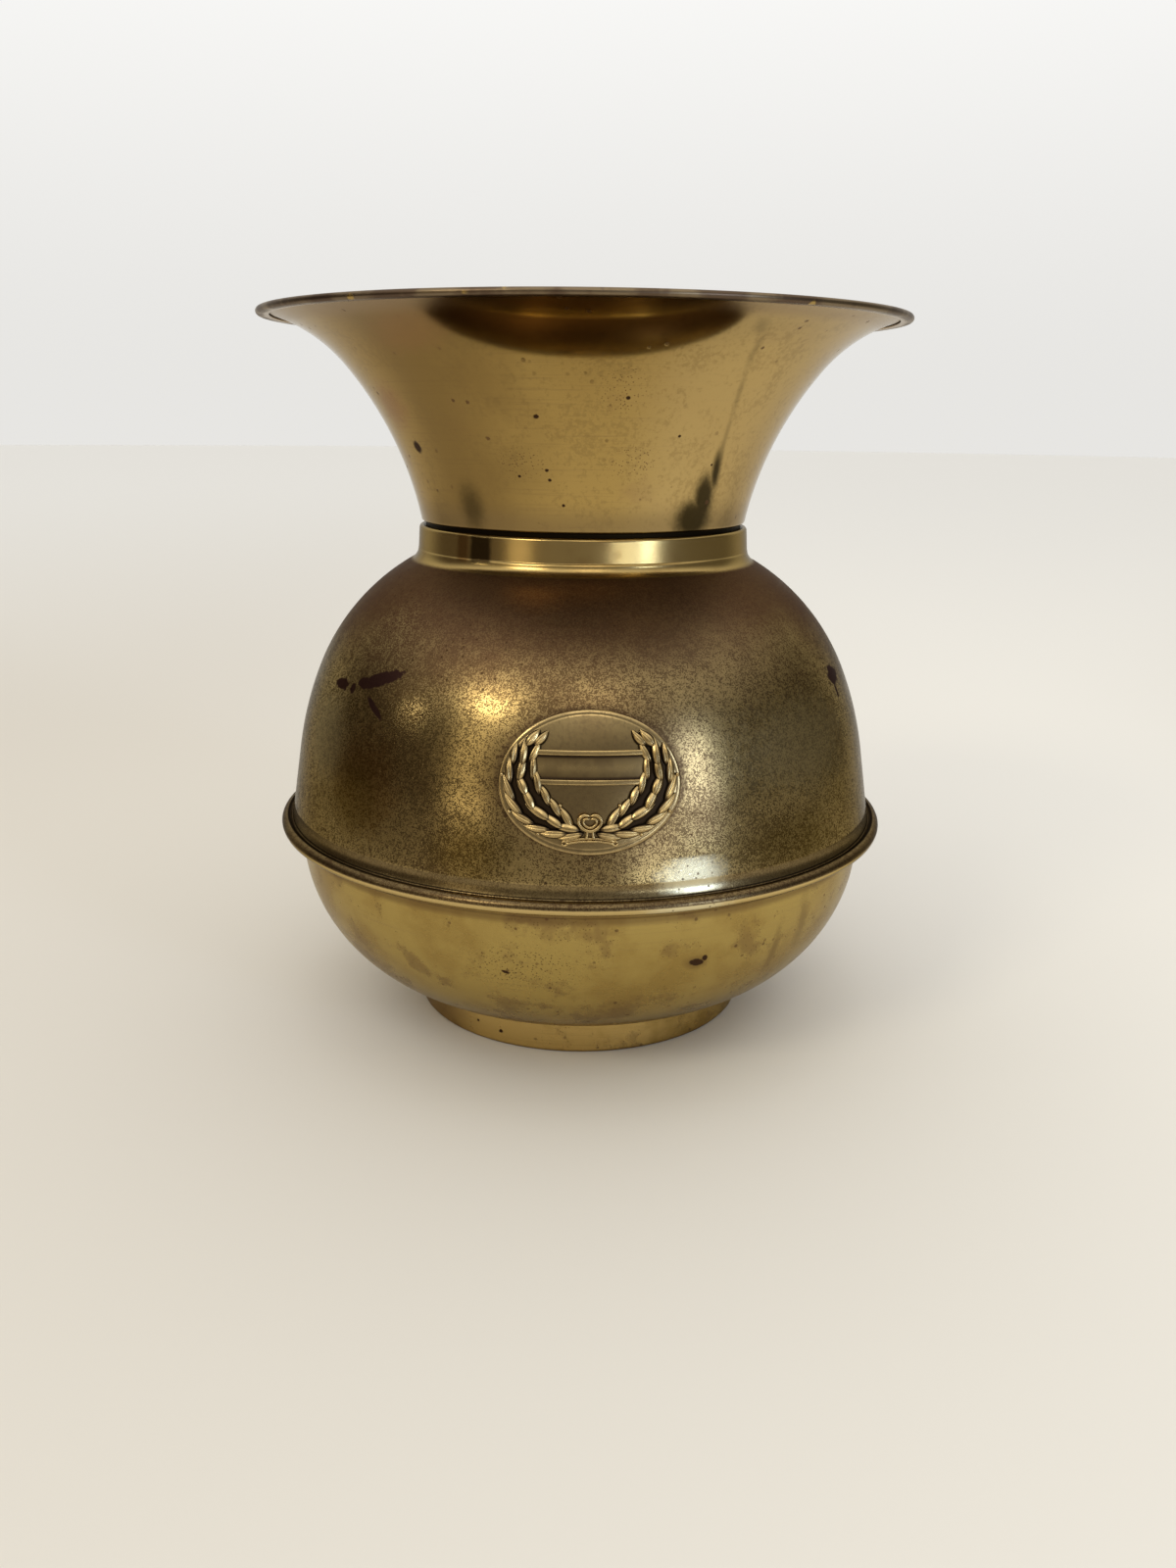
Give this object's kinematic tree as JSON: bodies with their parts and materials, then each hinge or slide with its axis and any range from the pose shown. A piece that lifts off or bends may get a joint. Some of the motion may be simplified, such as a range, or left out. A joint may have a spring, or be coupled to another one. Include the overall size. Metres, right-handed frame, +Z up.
{
  "type": "spittoon",
  "caption": "Round-bellied brass spittoon with a flared lift-out funnel, a hooked bead seam, a low foot ring and an oval wreath badge.",
  "frame": {"origin": "centre of the foot's underside, on the vessel's axis", "axes": "+Z up along the vessel's axis to the mouth; the badge faces -Y; +X to the right as seen from the badge's side"},
  "size_m": [0.2256, 0.2256, 0.252],
  "materials": {
    "mouth_funnel": "satin polished, worn",
    "upper_shell": "antique brown on brass, worn",
    "lower_bowl": "satin polished, worn",
    "foot_ring": "satin polished, worn",
    "badge_plate": "satin, darkened",
    "badge_wreath": "cast, dark in the recesses"
  },
  "bodies": {
    "vessel": {"upper_shell": "upper_shell", "lower_bowl": "lower_bowl", "foot_ring": "foot_ring", "badge_plate": "badge_plate", "badge_wreath": "badge_wreath"},
    "funnel": {"mouth_funnel": "mouth_funnel"}
  },
  "joints": [
    {"name": "funnel_lift", "type": "slide", "parent": "vessel", "child": "funnel", "axis": [0, 0, 1], "range_m": [0, 0.05]}
  ]
}
